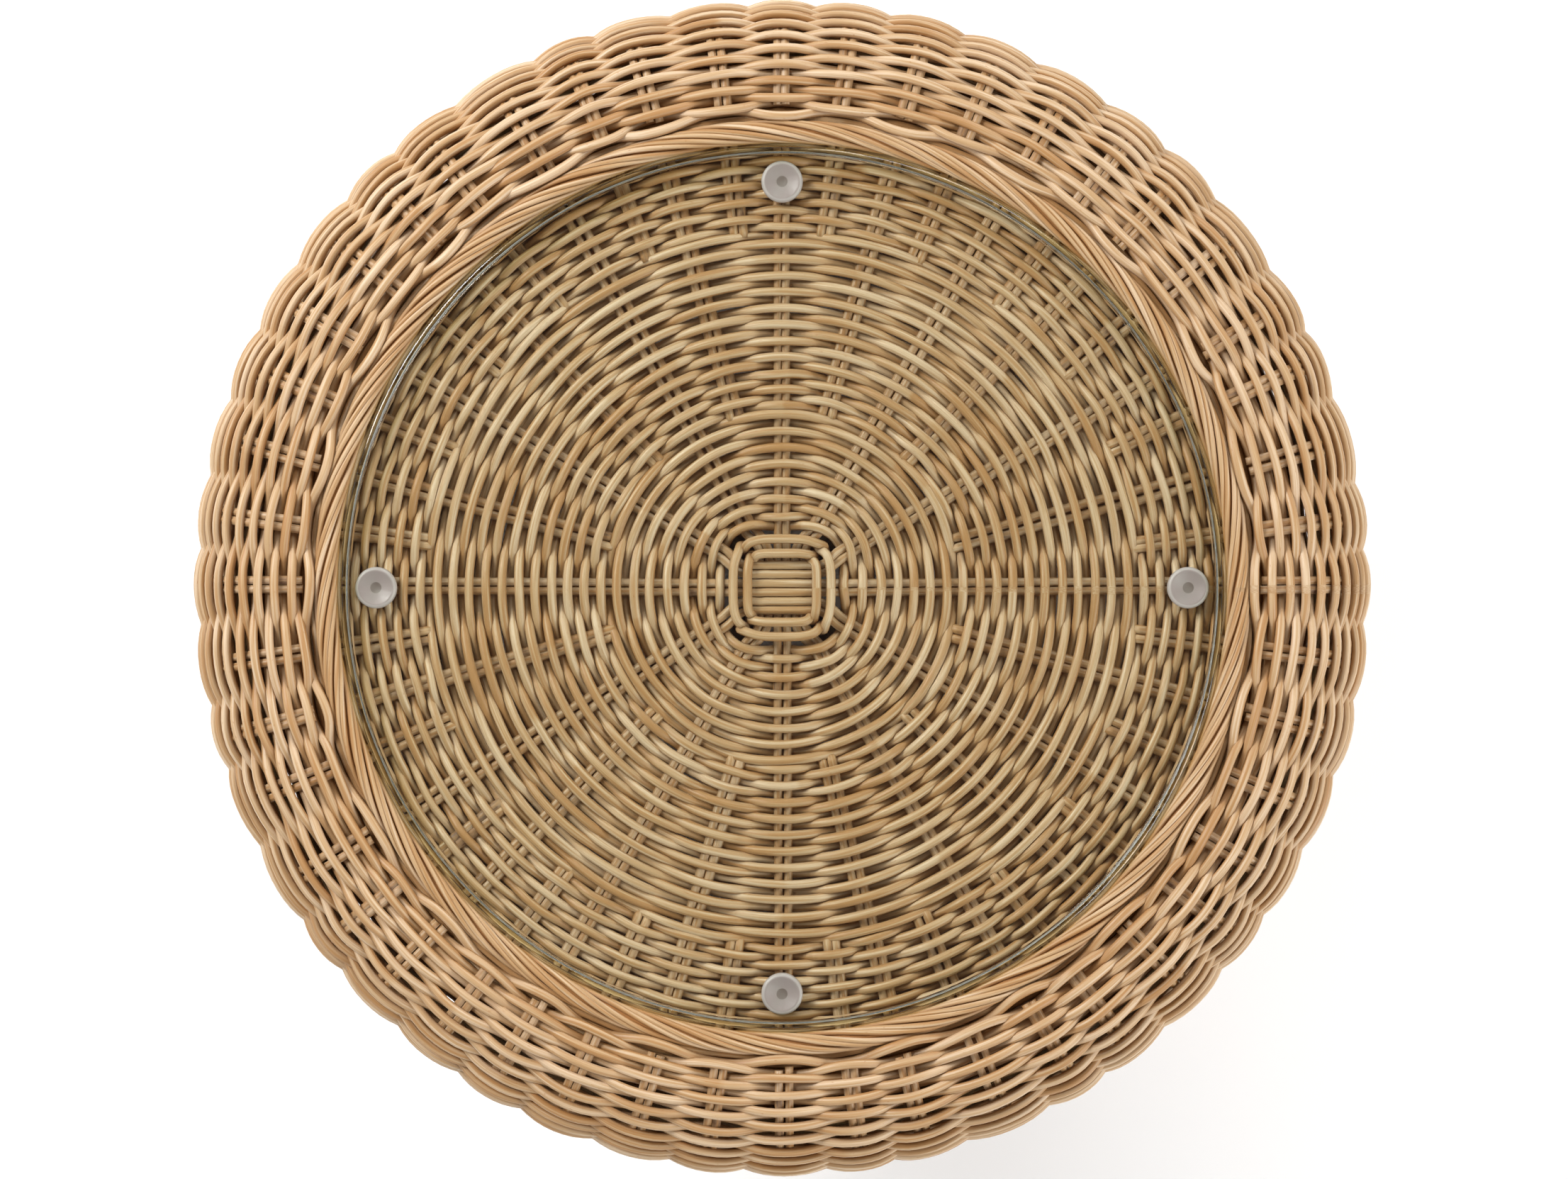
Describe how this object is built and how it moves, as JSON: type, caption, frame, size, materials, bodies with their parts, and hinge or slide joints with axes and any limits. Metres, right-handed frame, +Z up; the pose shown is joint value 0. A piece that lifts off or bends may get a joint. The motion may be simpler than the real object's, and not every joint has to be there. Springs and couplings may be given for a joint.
{
  "type": "wicker coffee table",
  "caption": "Round waisted coffee table woven from rattan over a pole frame, with a twisted rope border round a recessed loose glass top.",
  "frame": {"origin": "on the floor under the middle of the table", "axes": "+Z up; +X and +Y run along the two arms of the reed cross in the woven disc"},
  "size_m": [0.7386, 0.7386, 0.45],
  "materials": {
    "woven_rattan": "natural peeled rattan rods under a thin satin lacquer",
    "rope_rattan": "natural rattan rods twisted into a rope, satin lacquer",
    "rattan_pole": "whole rattan pole with faint nodes, satin",
    "green_glass": "clear float glass with a green tint and a ground round edge",
    "clear_bumper": "frosted translucent soft plastic",
    "black_nylon": "matt moulded"
  },
  "bodies": {
    "table": {"side_weave": "woven_rattan", "disc_weave": "woven_rattan", "cross_reed_x1": "woven_rattan", "cross_reed_x2": "woven_rattan", "cross_reed_x3": "woven_rattan", "cross_reed_x4": "woven_rattan", "cross_reed_x5": "woven_rattan", "cross_reed_x6": "woven_rattan", "cross_reed_y1": "woven_rattan", "cross_reed_y2": "woven_rattan", "cross_reed_y3": "woven_rattan", "cross_reed_y4": "woven_rattan", "cross_reed_y5": "woven_rattan", "cross_reed_y6": "woven_rattan", "cross_binding_1": "woven_rattan", "cross_binding_2": "woven_rattan", "rope_border": "rope_rattan", "foot_border": "rope_rattan", "rim_hoop": "rattan_pole", "shoulder_hoop": "rattan_pole", "waist_ring": "rattan_pole", "base_hoop": "rattan_pole", "cross_rail_1": "rattan_pole", "cross_rail_2": "rattan_pole", "leg_1": "rattan_pole", "leg_2": "rattan_pole", "leg_3": "rattan_pole", "leg_4": "rattan_pole", "leg_5": "rattan_pole", "leg_6": "rattan_pole", "glide_1": "black_nylon", "glide_2": "black_nylon", "glide_3": "black_nylon", "glide_4": "black_nylon", "glide_5": "black_nylon", "glide_6": "black_nylon", "glass_bumper_1": "clear_bumper", "glass_bumper_2": "clear_bumper", "glass_bumper_3": "clear_bumper", "glass_bumper_4": "clear_bumper"},
    "glass": {"glass_top": "green_glass"}
  },
  "joints": [
    {"name": "glass_lift", "type": "slide", "parent": "table", "child": "glass", "axis": [0, 0, 1], "range_m": [0, 0.1]}
  ]
}
